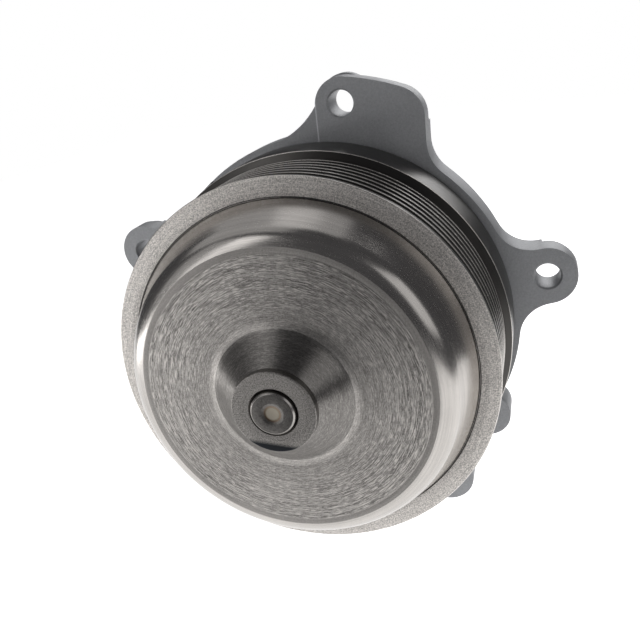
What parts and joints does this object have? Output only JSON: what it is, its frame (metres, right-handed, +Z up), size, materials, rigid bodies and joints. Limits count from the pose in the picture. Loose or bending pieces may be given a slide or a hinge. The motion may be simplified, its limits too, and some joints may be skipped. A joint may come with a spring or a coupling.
{
  "type": "engine water pump",
  "caption": "Block-mounted engine coolant pump: cast housing with bolt ears, a hollow ribbed belt pulley on a ball and roller bearing shaft, a face seal and a vaned impeller.",
  "frame": {"origin": "centre of the mounting face, on the shaft axis", "axes": "+Y along the shaft towards the impeller and the engine block, -Y towards the pulley, +Z up with the wide ear at the top"},
  "size_m": [0.1598, 0.1123, 0.1547],
  "materials": {
    "cast_aluminium": "sand cast, matte",
    "turned_steel": "turned and ground, satin",
    "ground_steel": "ground",
    "bearing_steel": "ground and polished",
    "cage_plastic": "moulded",
    "seal_rubber": "moulded",
    "seal_brass": "pressed",
    "spring_steel": "drawn wire",
    "seal_carbon": "lapped carbon",
    "seal_ceramic": "lapped ceramic",
    "o_ring_rubber": "moulded",
    "filter_foam": "open foam",
    "impeller_plastic": "moulded, glass filled"
  },
  "bodies": {
    "housing": {"pump_housing": "cast_aluminium", "flange_o_ring": "o_ring_rubber", "drain_filter": "filter_foam", "bearing_outer_ring": "bearing_steel", "front_bearing_shield": "seal_rubber", "rear_bearing_shield": "seal_rubber", "seal_case": "seal_brass", "seal_bellows": "seal_rubber", "seal_spring": "spring_steel", "seal_ferrule": "seal_brass", "seal_face_ring": "seal_carbon"},
    "rotor": {"shaft": "ground_steel", "pulley": "turned_steel", "slinger": "seal_rubber", "seal_seat": "seal_ceramic", "seal_seat_cup": "seal_rubber", "impeller": "impeller_plastic", "impeller_bush": "seal_brass"},
    "ball_train": {"bearing_balls": "bearing_steel", "ball_cage": "cage_plastic"},
    "roller_train": {"bearing_rollers": "bearing_steel", "roller_cage": "cage_plastic"}
  },
  "joints": [
    {"name": "rotor_spin", "type": "hinge", "parent": "housing", "child": "rotor", "pos_m": [0, 0, 0], "axis": [0, 1, 0], "continuous": true},
    {"name": "ball_train_orbit", "type": "hinge", "parent": "housing", "child": "ball_train", "pos_m": [0, 0, 0], "axis": [0, 1, 0], "continuous": true},
    {"name": "roller_train_orbit", "type": "hinge", "parent": "housing", "child": "roller_train", "pos_m": [0, 0, 0], "axis": [0, 1, 0], "continuous": true}
  ],
  "couplings": [
    {"joint": "ball_train_orbit", "follows": "rotor_spin", "ratio": 0.34234},
    {"joint": "roller_train_orbit", "follows": "rotor_spin", "ratio": 0.38208}
  ]
}
